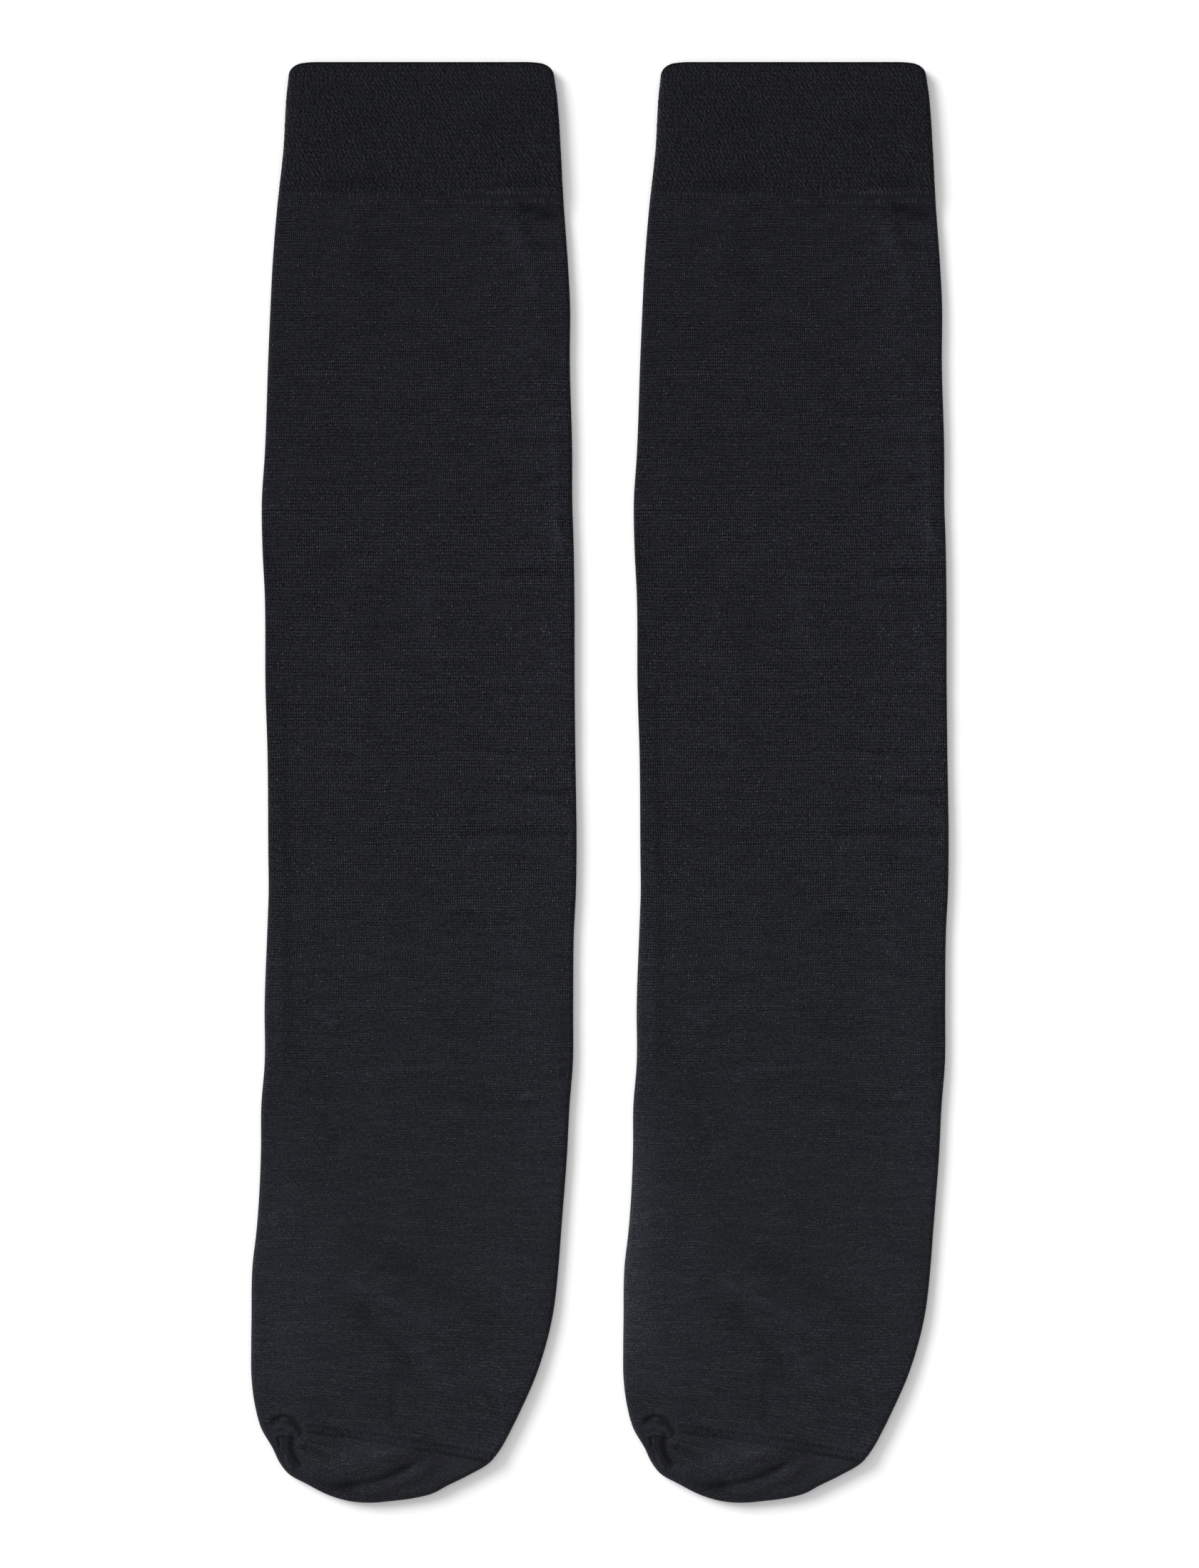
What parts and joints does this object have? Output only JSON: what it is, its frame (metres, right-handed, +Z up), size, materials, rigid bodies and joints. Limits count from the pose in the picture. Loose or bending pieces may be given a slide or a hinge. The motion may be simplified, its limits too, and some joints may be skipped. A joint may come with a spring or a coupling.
{
  "type": "pair of knee-high socks",
  "caption": "Pair of fine-knit knee-high tube socks laid flat side by side, each with a double cuff, a heelless leg and foot, and a closed toe cap.",
  "frame": {"origin": "on the surface that the socks lie on, at the middle of the pair's box", "axes": "+Y along the socks from toes to mouths, +X across the pair from the left sock to the right one, +Z up from the surface"},
  "size_m": [0.2276, 0.47, 0.0052],
  "materials": {
    "cuff_knit": "matt near-black elastic knit with slanted stitches",
    "leg_knit": "fine plain knit, near-black with a blue cast and a faint sheen",
    "toe_knit": "fine plain knit, near-black with a blue cast, a little lighter"
  },
  "bodies": {
    "root": {"left_cuff": "cuff_knit", "left_leg_and_foot": "leg_knit", "left_toe_cap": "toe_knit", "right_cuff": "cuff_knit", "right_leg_and_foot": "leg_knit", "right_toe_cap": "toe_knit"}
  },
  "joints": []
}
